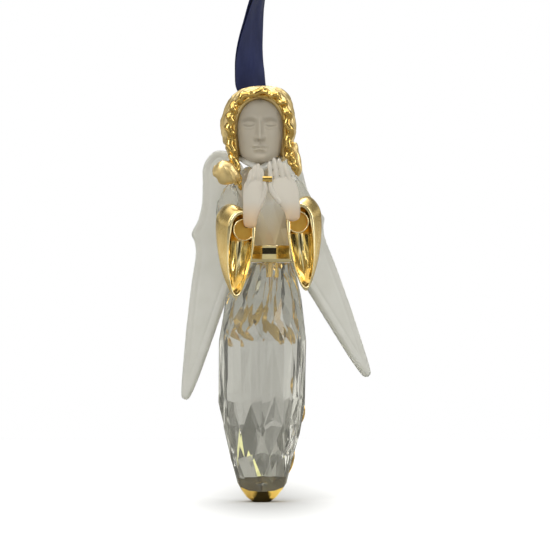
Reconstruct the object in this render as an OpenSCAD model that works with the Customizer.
// Hanging angel ornament: clear and frosted crystal, gold-plated metal, satin ribbon.
// Sizes are millimetres. Shapes are laid out with the foot's lowest point at [0, 0, 0],
// x to the viewer's right, y to the back and z up, then moved so that the place where
// a hook holds the ribbon loop is the origin.

/* [Gown] */
// Half width of the gown at the thigh
gown_a = 8.35; // [7.8:0.05:8.8]
// Half depth of the gown at the thigh
gown_b = 7.0; // [6.4:0.05:7.4]
// Depth of the pleats cut in the upper gown, as a part of its radius
pleat = 0.06; // [0.02:0.01:0.08]
// Height of the belt's lower edge
belt_z = 46; // [45.8:0.1:46.2]
// Height of the belt
belt_h = 3.3; // [3:0.1:3.4]

/* [Upper body] */
// Lean of the wings and shoulders to the viewer's left, in degrees
lean = 7; // [6:0.5:8]
// Turn of the body to the viewer's right, in degrees
turn = 6; // [5:0.5:7]
// Thickness of a wing
wing_t = 2; // [1.7:0.1:2.1]
// Angle at which the wings sweep back, in degrees
sweep = 20; // [18:1:21]
// Wall of the gold sleeve
sleeve_wall = 0.45; // [0.4:0.05:0.5]
// Radius of the inner cuff
cuff_r = 2.1; // [2:0.05:2.15]

/* [Head] */
// Half width of the head
head_a = 5.2; // [5:0.1:5.3]
// Thickness of the gold hair
hair_t = 1.5; // [1.3:0.1:1.6]

/* [Hanging] */
// Radius of the jump ring, to the middle of its wire
ring_r = 2.9; // [2.8:0.05:3]
// Radius of the jump ring's wire
wire_r = 0.4; // [0.38:0.01:0.42]
// Running clearance of the wire in the eye's hole
eye_clear = 0.09; // [0.08:0.01:0.1]
// Width of the ribbon
ribbon_w = 5.8; // [5.4:0.1:6]
// Thickness of the ribbon
ribbon_t = 0.3; // [0.25:0.05:0.3]

/* [Hidden] */
$fn = 32;

// Gap left between pieces that are glued together
glue = 0.04;
// Where the hook holds the ribbon loop
hang = [0, 5, 124];
// The jump ring's centre
ring_c = [-1.5, 5, 72.8];
// The eye's hole, on the ring's lowest stretch of wire
eye_c = ring_c - [0, 0, ring_r];
// The point at the neck that the upper body leans and turns about
neck = [-0.6, 0.4, 67.6];
// Middle of the waist
waist = [1.4, 0.8];
// Half depth of the head
head_b = 5.6;
// Sides of every cut crystal ring: corners and the middles of the edges between them
cut_n = 24;
// How far in the middle of an edge lies, as a part of the corner's radius
edge_mid = cos(360 / cut_n);

gold = "goldenrod";
crystal = [0.75, 0.85, 0.9, 0.6];
frost = [0.85, 0.85, 0.82];
satin = "midnightblue";

// ---- Placing ----

// Moves a piece from the layout's frame to the hook's
module place() {
    translate(-hang) children();
}

// Leans and turns the shoulders and wings about the neck
module upper_pose() {
    translate(neck) rotate([0, -lean, 0]) rotate([0, 0, turn]) translate(-neck) children();
}

// ---- Lofted solids ----

// Sum of a list of points
function total(v, i = 0) = i >= len(v) ? [0, 0, 0] : v[i] + total(v, i + 1);

// Closed solid through rings of equal length, listed upward with each ring anticlockwise
// seen from above. Each quad is split along one diagonal or the other, as flips says.
module skin(rings, flips = []) {
    n = len(rings[0]);
    m = len(rings);
    points = [for (r = rings) each r, total(rings[0]) / n, total(rings[m - 1]) / n];
    faces = [
        for (k = [0:m - 2], i = [0:n - 1])
            let (
                j = (i + 1) % n,
                a = k * n + i,
                b = k * n + j,
                c = (k + 1) * n + j,
                d = (k + 1) * n + i,
                flip = len(flips) > k && (i + flips[k]) % 2 == 1
            )
            each flip ? [[a, d, b], [b, d, c]] : [[a, d, c], [a, c, b]],
        for (i = [0:n - 1]) [m * n, i, (i + 1) % n],
        for (i = [0:n - 1]) [m * n + 1, (m - 1) * n + (i + 1) % n, (m - 1) * n + i]
    ];
    polyhedron(points, faces);
}

// Cut crystal ring. A row is [z, middle x, middle y, half width, half depth, phase, pleat,
// rise along x, rise along y]; the phase says whether even or odd points are the corners.
function cut_ring(row, grow = 0) = [
    for (i = [0:cut_n - 1])
        let (
            t = 360 * i / cut_n,
            corner = (i + row[5]) % 2 == 0,
            f = corner ? 1 : edge_mid * (1 - row[6]),
            a = (row[3] + grow) * f * cos(t),
            b = (row[4] + grow) * f * sin(t)
        )
        [row[1] + a, row[2] + b, row[0] + row[7] * a + row[8] * b]
];

// Cut crystal solid through such rows
module cut_body(rows, grow = 0) {
    skin([for (r = rows) cut_ring(r, grow)], [for (r = rows) r[5]]);
}

// Smooth solid through rows of [z, middle x, middle y, half width, half depth]
module smooth_body(rows, grow = 0, n = 32) {
    skin([
        for (r = rows)
            [for (i = [0:n - 1])
                let (t = 360 * i / n)
                [r[1] + (r[3] + grow) * cos(t), r[2] + (r[4] + grow) * sin(t), r[0]]]
    ]);
}

function unit(v) = v / norm(v);

// Direction of a path at point i
function along(path, i) = unit(path[min(i + 1, len(path) - 1)] - path[max(i - 1, 0)]);

// Tube along a path. sizes holds a [half width, half height] for each point, and side the
// direction that the width lies in.
module tube(path, sizes, side = [1, 0, 0], n = 10) {
    skin([
        for (i = [0:len(path) - 1])
            let (
                t = along(path, i),
                w = unit(side - (side * t) * t),
                h = cross(t, w)
            )
            [for (k = [0:n - 1])
                let (q = 360 * k / n)
                path[i] + sizes[i][0] * cos(q) * w + sizes[i][1] * sin(q) * h]
    ]);
}

// Round rod between two points
module rod(from, to, r) {
    d = to - from;
    translate(from)
        rotate([0, acos(d[2] / norm(d)), atan2(d[1], d[0])])
            cylinder(h = norm(d), r = r);
}

// ---- Gown ----

// Tilted seat where the gown stands in the foot cap
seat = [3.7, 0, 2.2, 4.7, 4.0, 0, 0, 0, 0.4];

gown_rows = [
    seat,
    [7.6, 0.0, 2.5, gown_a * 0.7, gown_b * 0.74, 0, 0, 0, 0.05],
    [11.0, -0.2, 2.5, gown_a * 0.81, gown_b * 0.84, 1, 0, 0, 0.12],
    [17.6, -0.1, 2.5, gown_a * 0.99, gown_b * 1.0, 0, 0, 0, 0.06],
    [31.0, 0.1, 2.3, gown_a * 1.0, gown_b * 0.97, 0, 0, 0, 0],
    [39.3, 0.3, 1.5, gown_a * 0.9, gown_b * 0.83, 1, pleat, 0, 0.03],
    [belt_z - glue, waist[0], waist[1], gown_a * 0.58, gown_b * 0.58, 1, pleat * 0.6, 0, 0]
];

// Outer face of the gown at a height, at angle t seen from above
function gown_row_at(z, k = 0) =
    k >= len(gown_rows) - 2 || gown_rows[k + 1][0] > z ? k : gown_row_at(z, k + 1);

function on_gown(t, z, out) =
    let (
        k = gown_row_at(z),
        lo = gown_rows[k],
        hi = gown_rows[k + 1],
        f = (z - lo[0]) / (hi[0] - lo[0]),
        r = lo + (hi - lo) * f
    )
    [r[1] + (r[3] + out) * cos(t), r[2] + (r[4] + out) * sin(t), z];

foot_pin_r = 0.9;
waist_pin_r = 0.9;

module gown() {
    color(crystal) place() difference() {
        cut_body(gown_rows);
        translate([0, 2.2, 1]) cylinder(h = 5.5, r = foot_pin_r + glue);
        translate([waist[0], waist[1], belt_z - 3]) cylinder(h = 4, r = waist_pin_r + glue);
    }
}

cap_rows = [
    [0, -0.1, 0.8, 1.6, 1.5, 1, 0, 0, 0],
    [0.9, -0.1, 1.2, 2.9, 2.5, 0, 0, 0, 0.05],
    [2.2, -0.05, 1.7, 3.9, 3.3, 0, 0, 0, 0.2],
    [3.7 - glue, 0, 2.2, 4.75, 4.05, 0, 0, 0, 0.4]
];

module foot_cap() {
    color(gold) place() difference() {
        cut_body(cap_rows);
        translate([0, 2.2, 1]) cylinder(h = 5.5, r = foot_pin_r + glue);
    }
}

module foot_pin() {
    color(gold) place() translate([0, 2.2, 1 + glue]) cylinder(h = 5.2, r = foot_pin_r);
}

// Gold edge of the train. Rows are [angle round the gown, height, half width]
trim_route = [
    [40, 5.4, 1.1], [26, 6.6, 1.2], [20, 8.2, 1.1], [32, 10.2, 1.0], [46, 12.4, 1.0], [40, 14.8, 1.1],
    [24, 16.4, 1.1], [12, 17.4, 0.9], [22, 19.2, 1.0], [45, 21.8, 1.1], [72, 24.4, 1.1], [92, 27.0, 0.9]
];
// Half thickness of the gold edge, and how far its middle stands off the gown
trim_half = 0.3;
trim_off = 0.15;

module train_trim() {
    path = [for (r = trim_route) on_gown(r[0], r[1], trim_off)];
    color(gold) place() difference() {
        tube(path, [for (r = trim_route) [r[2], trim_half]], side = [-0.6, 1, 0.6]);
        cut_body(gown_rows, glue);
    }
}

// One tail of the sash. Rows are [angle round the gown, height, half width]
tail_left = [
    [108, 43.9, 0.6], [114, 42.0, 0.8], [122, 39.0, 1.0], [116, 36.0, 1.2], [126, 33.5, 1.3], [118, 31.2, 0.6]
];
tail_right = [
    [72, 43.9, 0.6], [66, 42.0, 0.8], [58, 39.0, 1.0], [66, 36.0, 1.2], [54, 33.2, 1.3], [60, 30.6, 0.6]
];
// Middle of the bow's knot
bow_knot = [waist[0], 6.6, 45.6];
// Half loop of the bow, from the knot out and back
bow_loop = [
    [0.9, 6.7, 46.2], [2.8, 7.3, 47.4], [4.3, 7.0, 46.8], [4.0, 7.3, 45.0], [2.4, 7.4, 44.4], [0.9, 6.8, 45.0]
];

module sash() {
    color(gold) place() difference() {
        union() {
            for (tail = [tail_left, tail_right]) {
                tube([bow_knot, for (r = tail) on_gown(r[0], r[1], trim_off + 0.2)],
                    [[0.5, trim_half], for (r = tail) [r[2], trim_half]]);
            }
            for (s = [-1, 1]) {
                translate([waist[0], 0, 0])
                    mirror([s < 0 ? 1 : 0, 0, 0])
                        tube(bow_loop, [for (p = bow_loop) [0.7, 0.3]], side = [0, 1, 0]);
            }
            translate(bow_knot) rotate([90, 0, 0]) cylinder(h = 1.9, r = 1.3, center = true);
        }
        cut_body(gown_rows, glue);
        translate([0, 0, belt_z - 1]) belt_solid(glue);
    }
}

// ---- Belt and bodice ----

belt_a = 5.1;
belt_b = 4.5;
belt_n = 10;

// Faceted waist ring with bevelled edges
module belt_solid(grow = 0) {
    bevel = 0.45;
    rows = [[0, bevel], [bevel * 1.3, 0], [belt_h - bevel * 1.3, 0], [belt_h, bevel]];
    skin([
        for (r = rows)
            [for (i = [0:belt_n - 1])
                let (t = 360 * (i + 0.5) / belt_n - 90)
                [waist[0] + (belt_a - r[1] + grow) * cos(t),
                 waist[1] + (belt_b - r[1] + grow) * sin(t),
                 1 + r[0]]]
    ]);
}

module belt() {
    color(gold) place() difference() {
        translate([0, 0, belt_z - 1]) belt_solid();
        translate([waist[0], waist[1], belt_z - 1]) cylinder(h = belt_h + 2, r = waist_pin_r + glue);
    }
}

module waist_pin() {
    color(gold) place()
        translate([waist[0], waist[1], belt_z - 3 + glue]) cylinder(h = belt_h + 5.6, r = waist_pin_r);
}

bodice_z = belt_z + belt_h + glue;
bodice_rows = [
    [bodice_z, waist[0], waist[1], 4.3, 3.8, 1, 0, 0, 0],
    [bodice_z + 3.2, 1.2, 0.6, 4.6, 4.1, 0, 0, 0.02, 0],
    [57.0, 0.8, 0.5, 5.4, 4.3, 1, 0, 0.05, 0],
    [61.0, 0.3, 0.6, 6.2, 3.7, 0, 0, 0.09, 0],
    [63.3, 0.0, 0.6, 4.9, 3.0, 1, 0, 0.1, 0],
    [64.6, -0.3, 0.4, 2.9, 2.6, 0, 0, 0.1, 0]
];
neck_pin_r = 0.8;

module bodice() {
    color(crystal) place() difference() {
        cut_body(bodice_rows);
        translate([waist[0], waist[1], bodice_z - 1]) cylinder(h = 3.6, r = waist_pin_r + glue);
        translate([-0.4, 0.2, 60.8]) cylinder(h = 8, r = neck_pin_r + glue);
    }
}

module neck_pin() {
    color(gold) place() translate([-0.4, 0.2, 60.8 + glue]) cylinder(h = 6, r = neck_pin_r);
}

// ---- Arms ----

// Left and right arms, as the viewer sees them: side, shoulder, elbow and middle of the cuff
arms = [
    [-1, [-5.4, 0.6, 60.2], [-6.6, 0.4, 55.0], [-3.85, -7.4, 52.2]],
    [1, [5.9, 0.6, 61.2], [7.6, 0.2, 56.2], [7.25, -7.4, 53.7]]
];
// Outward splay of a sleeve's long axis, in degrees
splay = 5;
// Sleeve sections from the closed back to the open front:
// [y from the rim, shift outward, radius, drop to the point, shift up]
sleeve_rows = [
    [8.2, 2.1, 0.9, 1.4, 2.4],
    [6.8, 2.1, 2.1, 4.0, 1.8],
    [4.6, 1.9, 2.7, 7.2, 1.2],
    [2.4, 1.4, 2.95, 10.4, 0.6],
    [0.8, 0.5, 2.85, 12.5, 0.15],
    [0, 0, 2.65, 13.1, 0]
];
sleeve_n = 28;

// Teardrop outline, round above and drawn to a point below
function teardrop(r, drop, grow) = [
    for (i = [0:sleeve_n - 1])
        let (
            t = 360 * i / sleeve_n,
            low = sin(t) < 0,
            pinch = low ? 1 - 0.2 * pow(-sin(t), 3) : 1
        )
        [(r + grow) * cos(t) * pinch, low ? (drop + grow * 1.6) * sin(t) : (r + grow) * 1.35 * sin(t)]
];

// One section's points
function sleeve_ring(row, grow) = [
    for (p = teardrop(row[2], row[3], grow)) [row[1] + p[0], row[0], row[4] + p[1]]
];

// Sleeve's outer or inner envelope, for the arm on the +x side, with its ends moved along y
module sleeve_envelope(grow, front, back) {
    last = len(sleeve_rows) - 1;
    skin([
        for (k = [0:last])
            let (shift = k == last ? [0, -front, 0] : k == 0 ? [0, back, 0] : [0, 0, 0])
            [for (p = sleeve_ring(sleeve_rows[k], grow)) p + shift]
    ]);
}

// Puts a piece drawn at the +x side's cuff on one of the arms
module at_cuff(arm) {
    translate(arm[3])
        rotate([0, 0, turn])
            mirror([arm[0] < 0 ? 1 : 0, 0, 0])
                rotate([0, -splay, 0])
                    children();
}

module sleeve(arm) {
    color(gold) place() at_cuff(arm) difference() {
        sleeve_envelope(0, 0, 0);
        sleeve_envelope(-sleeve_wall, 0.5, -sleeve_wall);
    }
}

module sleeve_left() { sleeve(arms[0]); }
module sleeve_right() { sleeve(arms[1]); }

// Clear upper arm, from the shoulder into the back of the sleeve
module upper_arm(arm) {
    s = arm[1];
    e = arm[2];
    mid = (s + e) / 2 + [arm[0] * 0.4, 0, 0];
    rows = [
        [e[2] - 1.6, e[0], e[1], 2.0, 2.1, 0, 0, 0, 0],
        [e[2] + 0.6, e[0], e[1], 2.3, 2.5, 1, 0, 0, 0],
        [mid[2], mid[0], mid[1], 2.2, 2.4, 0, 0, 0, 0],
        [s[2], s[0], s[1], 2.0, 2.2, 1, 0, 0, 0],
        [s[2] + 1.5, s[0] - arm[0] * 0.5, s[1], 1.0, 1.2, 0, 0, 0, 0]
    ];
    color(crystal) place() difference() {
        cut_body(rows);
        cut_body(bodice_rows, glue);
        at_cuff(arm) sleeve_envelope(glue, 0, glue);
    }
}

module upper_arm_left() { upper_arm(arms[0]); }
module upper_arm_right() { upper_arm(arms[1]); }

cuff_l = 4.2;
wrist_pin_r = 0.5;
// Middle of the cuff, and the wrist pin's back end, from the sleeve's middle, for the +x side
cuff_at = [-0.45, 0, 0];
wrist_at = [-0.95, 1.5, 0.9];
wrist_pin_l = 2.6;

// Round cuff with a raised rim round its recessed floor
module cuff(arm) {
    rim_w = 0.25;
    recess = 0.7;
    color(gold) place() at_cuff(arm) difference() {
        intersection() {
            translate(cuff_at + [0, cuff_l - 0.4, 0]) rotate([90, 0, 0]) cylinder(h = cuff_l, r = cuff_r);
            sleeve_envelope(-sleeve_wall - glue, 0.5, -sleeve_wall - glue);
        }
        translate(cuff_at + [0, recess - 0.4, 0])
            rotate([90, 0, 0]) cylinder(h = recess + 1, r = cuff_r - rim_w);
        translate(wrist_at + [0, glue, 0]) rotate([90, 0, 0]) cylinder(h = 4, r = wrist_pin_r + glue);
    }
}

module cuff_left() { cuff(arms[0]); }
module cuff_right() { cuff(arms[1]); }

module wrist_pin(arm) {
    color(gold) place() at_cuff(arm)
        translate(wrist_at) rotate([90, 0, 0]) cylinder(h = wrist_pin_l, r = wrist_pin_r);
}

module wrist_pin_left() { wrist_pin(arms[0]); }
module wrist_pin_right() { wrist_pin(arms[1]); }

// ---- Hands ----

// Palm of each hand from the heel to the knuckles, then the directions of its fingers.
// [arm, heel, knuckles, fingertips, half width at the knuckles]
hands = [
    [arms[0], [-1.5, -8.7, 53.6], [-1.6, -9.1, 59.0], [-0.7, -9.5, 64.3], 2.3],
    [arms[1], [5.9, -8.7, 55.4], [4.8, -9.1, 59.8], [3.1, -9.5, 65.0], 2.4]
];
finger_r = 0.52;

// Four fingers side by side, fanned from the knuckles, on a flat palm and wrist
module hand(h) {
    heel = h[1];
    knuckle = h[2];
    tip = h[3];
    side = unit([1, 0.25 * h[0][0], 0.1 * h[0][0]]);
    mid = (heel + knuckle) / 2 + [0.1 * h[0][0], 0, 0];
    color(frost) place() difference() {
        union() {
            tube([heel, heel + [0, -0.1, 1.2], mid, knuckle, knuckle + (tip - knuckle) * 0.15],
                [[0.8, 0.7], [1.4, 0.8], [2.1, 0.8], [h[4], 0.65], [h[4] * 0.8, 0.5]],
                side = side, n = 16);
            for (k = [0:3]) {
                f = (k - 1.5) / 1.5;
                base = knuckle + side * h[4] * 0.7 * f;
                end = tip + side * 1.15 * f + [0, 0, -0.5 * abs(f + 0.3 * h[0][0])];
                tube([base, (base + end) / 2 + [0, -0.15, 0], end, end + unit(end - base) * 0.4],
                    [[finger_r, finger_r], [finger_r, finger_r], [finger_r * 0.8, finger_r * 0.8], [0.15, 0.15]],
                    side = side, n = 10);
            }
        }
        at_cuff(h[0]) translate(cuff_at + [0, cuff_l - 0.4, 0])
            rotate([90, 0, 0]) cylinder(h = cuff_l + glue, r = cuff_r + glue);
        at_cuff(h[0]) translate(wrist_at)
            rotate([90, 0, 0]) cylinder(h = wrist_pin_l + 2 * glue, r = wrist_pin_r + 2 * glue);
        clasp_bar(glue);
    }
}

module hand_left() { hand(hands[0]); }
module hand_right() { hand(hands[1]); }

// Small gold bar that joins the hands
module clasp_bar(grow = 0) {
    translate([1.05, -9.6, 61.8]) rotate([0, 90, 0])
        cylinder(h = 1.8 + 2 * grow, r = 0.6 + grow, center = true);
}

module clasp() {
    color(gold) place() clasp_bar();
}

// ---- Head and hair ----

// Egg-shaped head on its neck
head_rows = [
    [65.0, -0.4, 0.0, 2.3, 2.2],
    [66.2, -0.4, -0.6, 2.8, 2.8],
    [67.0, -0.4, -1.6, 3.7, 4.2],
    [68.4, -0.4, -2.1, 4.4, 5.0],
    [70.4, -0.4, -2.4, 4.8, 5.3],
    [72.6, -0.4, -2.4, head_a, head_b],
    [75.0, -0.4, -2.3, head_a * 0.95, head_b * 0.98],
    [76.8, -0.4, -2.1, head_a * 0.79, head_b * 0.83],
    [78.0, -0.4, -1.9, head_a * 0.5, head_b * 0.55],
    [78.5, -0.4, -1.8, 1.0, 1.1]
];

// Chin and jaw, in front of the neck
module chin(grow = 0) {
    tube([[-0.4, -4.8, 65.2], [-0.4, -4.6, 66.2], [-0.4, -3.9, 68.4]],
        [[1.2 + grow, 1.0 + grow], [2.6 + grow, 1.9 + grow], [3.9 + grow, 2.8 + grow]], n = 20);
}

module head() {
    color(frost) place() difference() {
        union() {
            smooth_body(head_rows);
            chin();
            // Nose
            tube([[-0.4, -7.6, 72.4], [-0.4, -8.3, 70.9], [-0.4, -7.6, 70.3]],
                [[0.35, 0.3], [0.65, 0.5], [0.4, 0.3]], n = 12);
        }
        translate([-0.4, 0.2, 60.8]) cylinder(h = 6.2, r = neck_pin_r + glue);
    }
}

hair_rows = [
    [65.6, -0.6, 0.4, 5.2, 3.0],
    [67.6, -0.7, 0.1, 6.3, 3.6],
    [70.0, -0.7, -0.8, 7.0, 4.6],
    [72.4, -0.7, -1.8, head_a + hair_t + 0.6, head_b],
    [75.0, -0.6, -2.0, head_a + hair_t, head_b + hair_t * 0.1],
    [77.4, -0.4, -2.0, head_a + hair_t * 0.6, head_b - hair_t * 0.3],
    [79.2, -0.1, -1.9, 3.9, 3.7],
    [80.0, 0.2, -1.8, 1.6, 1.8]
];
// Face opening in the hair: [z, middle x, half width]
face_rows = [[64, -0.4, 3.0], [67, -0.4, 4.1], [70.5, -0.4, 4.75], [73.5, -0.4, 4.6], [76, -0.3, 3.5], [77.5, -0.2, 1.5]];
lock_left = [[-5.9, -2.6, 70.8], [-6.4, -3.7, 68.4], [-6.9, -4.6, 65.4], [-7.0, -4.9, 63.2], [-6.9, -4.9, 61.6], [-6.6, -4.7, 60.9]];
lock_left_size = [[0.8, 0.8], [1.2, 1.0], [1.9, 1.1], [2.1, 1.0], [2.0, 0.8], [1.2, 0.4]];
strand_left = [[-5.8, -3.0, 70.2], [-5.2, -4.2, 67.4], [-4.6, -5.0, 64.6], [-4.4, -5.1, 62.2], [-4.0, -5.0, 60.4], [-3.8, -4.8, 59.4]];
strand_left_size = [[0.5, 0.6], [0.9, 0.8], [1.0, 0.8], [0.9, 0.7], [0.6, 0.5], [0.2, 0.2]];
lock_right = [[5.2, -2.6, 70.8], [5.4, -3.6, 68.2], [5.9, -4.2, 66.2], [6.3, -4.5, 64.4], [6.4, -4.5, 63.0], [6.2, -4.3, 62.2]];
lock_right_size = [[0.7, 0.7], [1.0, 0.9], [1.1, 0.9], [1.0, 0.8], [0.7, 0.6], [0.3, 0.3]];

// Space that the face looks out of, from the head's middle to the front
module face_opening() {
    skin([
        for (r = face_rows)
            [[r[1] - r[2], -12, r[0]], [r[1] + r[2], -12, r[0]], [r[1] + r[2], -2.6, r[0]], [r[1] - r[2], -2.6, r[0]]]
    ]);
}

module hair() {
    color(gold) place() difference() {
        union() {
            difference() {
                smooth_body(hair_rows);
                face_opening();
            }
            tube(lock_left, lock_left_size);
            tube(strand_left, strand_left_size);
            tube(lock_right, lock_right_size);
        }
        smooth_body(head_rows, glue);
        cut_body(bodice_rows, 0.2);
    }
}

// Frosted neckline with a low front
module collar() {
    rows = [
        [-1.1, 0, 0, 3.6, 4.4],
        [0, 0, 0, 4.1, 5.2],
        [0.5, 0, 0, 3.9, 5.0]
    ];
    wall = 0.7;
    color(frost) place() difference() {
        translate([-0.35, -0.7, 66.2]) rotate([24, 0, 0]) difference() {
            smooth_body(rows);
            smooth_body([for (r = rows) [r[0] * 1.2, r[1], r[2], r[3] - wall, r[4] - wall]]);
        }
        smooth_body(head_rows, glue);
        chin(glue);
        cut_body(bodice_rows, glue);
        smooth_body(hair_rows, glue);
        translate([-8, 0, 60]) cube([16, 8, 12]);
    }
}

// ---- Wings ----

// Outline of a wing as [x from the middle of the back, z], seen from behind
wing_outline = [
    [1.2, 58], [2.0, 64], [4.0, 67.6], [6.4, 68.7], [8.3, 67.7], [9.6, 65.6], [10.0, 62.6], [10.6, 58.8],
    [11.8, 55.6], [13.2, 53.4], [12.8, 51.4], [13.0, 48.8], [14.2, 44.4], [15.7, 38.2], [17.2, 31.4],
    [18.8, 23.2], [18.5, 21.6], [17.6, 21.8], [15.6, 25.2], [13.0, 30.4], [10.4, 35.8], [7.6, 41.6],
    [4.6, 48.0], [2.2, 53.6]
];
// Middle of the wings' roots
wing_root = [-1.5, 5.4, 0];

module wing(s) {
    pts = [for (p = wing_outline) [p[0] / cos(sweep), p[1]]];
    translate(wing_root)
        mirror([s < 0 ? 1 : 0, 0, 0])
            rotate([0, 0, sweep])
                translate([0, wing_t, 0])
                    rotate([90, 0, 0])
                        linear_extrude(wing_t) offset(r = 0.35) offset(delta = -0.35) polygon(pts);
}

module wing_left() { color(frost) place() upper_pose() wing(-1); }
module wing_right() { color(frost) place() upper_pose() wing(1); }

// Gold bracket behind the bodice, with a slot for each wing's root
module wing_bracket() {
    color(gold) place() difference() {
        upper_pose() translate([wing_root[0], wing_root[1] + 0.4, 60]) cube([5, 3.6, 5.4], center = true);
        cut_body(bodice_rows, glue);
        upper_pose() for (s = [-1, 1]) wing(s);
        smooth_body(hair_rows, 0.3);
    }
}

// ---- Hanging parts ----

eye_t = 0.9;
eye_out_r = 1.15;

// Gold eye on the back of the hair, its hole across the figure
module hanging_eye() {
    color(gold) place() difference() {
        union() {
            translate(eye_c) rotate([0, 90, 0]) cylinder(h = eye_t, r = eye_out_r, center = true);
            rod(eye_c + [0, -0.9, 0], eye_c + [0, -1.9, 0], 0.45);
        }
        translate(eye_c) rotate([0, 90, 0]) cylinder(h = eye_t + 2, r = wire_r + eye_clear, center = true);
    }
}

module jump_ring() {
    color(gold) place() translate(ring_c) rotate([90, 0, 0])
        rotate_extrude() translate([ring_r, 0]) circle(r = wire_r);
}

// Route of the ribbon, ring to knot: [height, x, gap between the strands' middles, twist]
ribbon_route = [
    [76.4, -1.5, 1.6, 0], [78, -1.8, 1.4, 0], [79.5, -2.1, 1.1, 4], [81, -2.3, 0.8, 10],
    [83, -2.4, 0.6, 18], [85, -2.5, 0.6, 28],
    [87.5, -2.4, 0.6, 38], [90, -2.1, 0.6, 47], [92.5, -1.7, 0.6, 56], [95, -1.3, 0.7, 64],
    [97.5, -0.8, 0.9, 71], [100, -0.4, 1.4, 78], [102.5, -0.2, 2.4, 84], [105, 0, 3.7, 88],
    [107.5, 0, 5.1, 90], [110, 0, 6.2, 90], [112.5, 0, 6.8, 90], [115, 0, 6.9, 90],
    [117.5, 0, 6.3, 90], [120, 0, 5.2, 90], [122.5, 0, 3.8, 90], [124.5, 0, 2.5, 90],
    [126.5, 0, 1.4, 90], [128, 0, 0.8, 90]
];

// Part of its full width that the gathered ribbon has at a height above the ring
function gather(z) = min(1, 0.38 + 0.62 * sin(90 * min(1, (z - ribbon_route[0][0]) / 4)));

// Middle of a strand at one row of the route: front is -1 for the near strand, 1 for the far one
function strand_point(r, front) =
    [r[1] - front * r[2] / 2 * sin(r[3]), hang[1] + front * r[2] / 2 * cos(r[3]), r[0]];

// One row's flat section: wide across the twist, thin along its normal
function strand_ring(r, front) =
    let (
        c = strand_point(r, front),
        w = [cos(r[3]), sin(r[3]), 0],
        h = [-sin(r[3]), cos(r[3]), 0],
        half = ribbon_w / 2 * gather(r[0])
    )
    [for (k = [0:7])
        let (q = 45 * k + 22.5)
        c + half * cos(q) / cos(22.5) * w + ribbon_t / 2 * sin(q) / sin(67.5) * h];

module strand(front) {
    color(satin) place() skin([for (r = ribbon_route) strand_ring(r, front)]);
}

module ribbon_front() { strand(-1); }
module ribbon_back() { strand(1); }

// Fold of the ribbon under the ring's top wire
module ribbon_fold() {
    steps = 10;
    r = ribbon_route[0][2] / 2;
    top = ribbon_route[0][0] - glue;
    mid_z = ring_c[2] + ring_r;
    half = ribbon_w / 2 * gather(ribbon_route[0][0]);
    path = [
        [0, -r, top],
        for (k = [0:steps]) let (t = 180 + 180 * k / steps) [0, r * cos(t), mid_z + r * sin(t)],
        [0, r, top]
    ];
    color(satin) place() translate([ring_c[0], ring_c[1], 0])
        tube(path, [for (p = path) [half, ribbon_t / 2]], n = 8);
}

knot_z = 128 + glue;

// Overhand knot that closes the loop, with two short tails
module ribbon_knot() {
    color(satin) place() translate([hang[0], hang[1], knot_z]) {
        skin([
            for (r = [[0, 0.9, 1.6], [0.9, 1.9, 2.6], [2.4, 2.2, 2.8], [3.8, 1.7, 2.4], [4.6, 0.9, 1.6]])
                [for (k = [0:15]) let (q = 22.5 * k) [r[1] * cos(q), r[2] * sin(q), r[0]]]
        ]);
        for (s = [-1, 1]) {
            tube([[0.3 * s, 0, 4], [1.0 * s, 0, 6.5], [2.2 * s, 0, 9.5]],
                [[0.15, 1.6], [0.15, 2.4], [0.15, 2.6]], n = 8);
        }
    }
}

gown();
foot_cap();
foot_pin();
train_trim();
sash();
belt();
waist_pin();
bodice();
upper_arm_left();
upper_arm_right();
sleeve_left();
sleeve_right();
cuff_left();
cuff_right();
wrist_pin_left();
wrist_pin_right();
hand_left();
hand_right();
clasp();
collar();
neck_pin();
head();
hair();
wing_left();
wing_right();
wing_bracket();
hanging_eye();
jump_ring();
ribbon_front();
ribbon_back();
ribbon_fold();
ribbon_knot();
